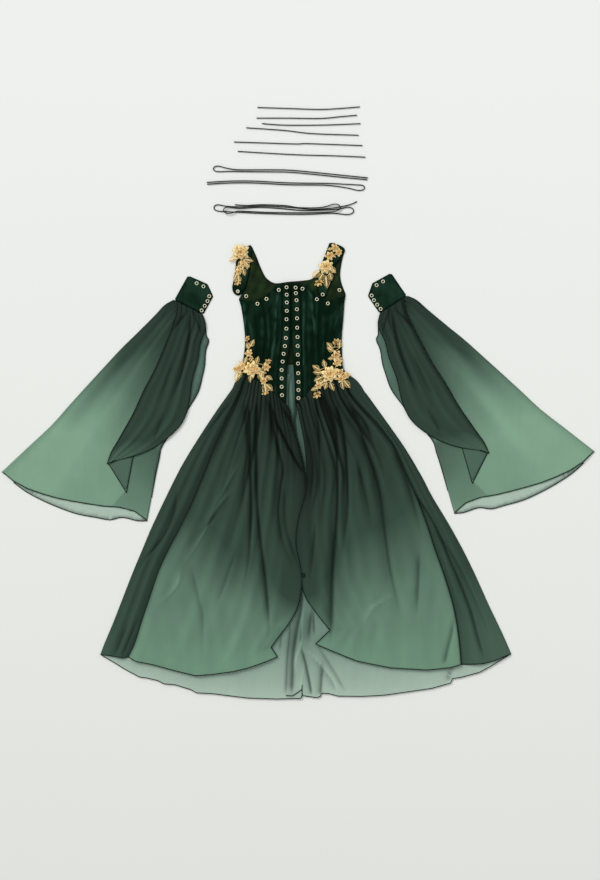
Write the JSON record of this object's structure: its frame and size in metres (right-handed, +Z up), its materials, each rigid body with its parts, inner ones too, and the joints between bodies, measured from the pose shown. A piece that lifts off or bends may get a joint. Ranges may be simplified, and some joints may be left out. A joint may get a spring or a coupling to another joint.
{
  "type": "medieval dress",
  "caption": "Laced velvet bodice dress with ombre chiffon skirt, detached trumpet sleeves and its laces, laid out flat.",
  "frame": {"origin": "middle of the footprint of the dress and its two sleeves on the surface they lie on, the laces left out", "axes": "+Z up from the surface, +Y from hem to shoulders, +X to the viewer's right as the front is seen"},
  "size_m": [1.8357, 1.8388, 0.0192],
  "materials": {
    "velvet": "dark bottle green crushed velvet with a soft sheen",
    "lining": "olive green satin lining",
    "chiffon_overskirt": "translucent chiffon dyed from near black green at the waist to sage at the hem",
    "chiffon_gore": "translucent chiffon, dark bottle green",
    "chiffon_underskirt": "translucent pale sage chiffon",
    "chiffon_sleeve": "translucent chiffon, dark at the cuff to sage at the hem",
    "gold_lace": "matt gold embroidered lace with three dimensional flowers",
    "lacing_cord": "matt dark green woven cord",
    "eyelet": "pale gold pressed metal rings"
  },
  "bodies": {
    "root": {"bodice_back": "lining", "bodice_front_left": "velvet", "bodice_front_right": "velvet", "placket_left": "velvet", "placket_right": "velvet", "strap_left": "velvet", "strap_right": "velvet", "overskirt_back": "chiffon_overskirt", "underskirt_back": "chiffon_underskirt", "underskirt_front_left": "chiffon_underskirt", "underskirt_front_right": "chiffon_underskirt", "overskirt_front_left": "chiffon_overskirt", "overskirt_front_right": "chiffon_overskirt", "side_gore_left": "chiffon_gore", "side_gore_right": "chiffon_gore", "cuff_left": "velvet", "sleeve_under_left": "chiffon_underskirt", "sleeve_upper_left": "chiffon_sleeve", "sleeve_turnback_left": "chiffon_gore", "sleeve_overlay_left": "chiffon_gore", "cuff_right": "velvet", "sleeve_under_right": "chiffon_underskirt", "sleeve_upper_right": "chiffon_sleeve", "sleeve_turnback_right": "chiffon_gore", "sleeve_overlay_right": "chiffon_gore", "applique_strap_left": "gold_lace", "applique_strap_right": "gold_lace", "applique_hip_left": "gold_lace", "applique_hip_right": "gold_lace", "lace_1": "lacing_cord", "lace_2": "lacing_cord", "lace_3": "lacing_cord", "lace_4": "lacing_cord", "lace_5": "lacing_cord", "lace_6": "lacing_cord", "lace_7": "lacing_cord", "lace_8": "lacing_cord", "lace_9_tail": "lacing_cord", "lace_9_hank": "lacing_cord"}
  },
  "joints": []
}
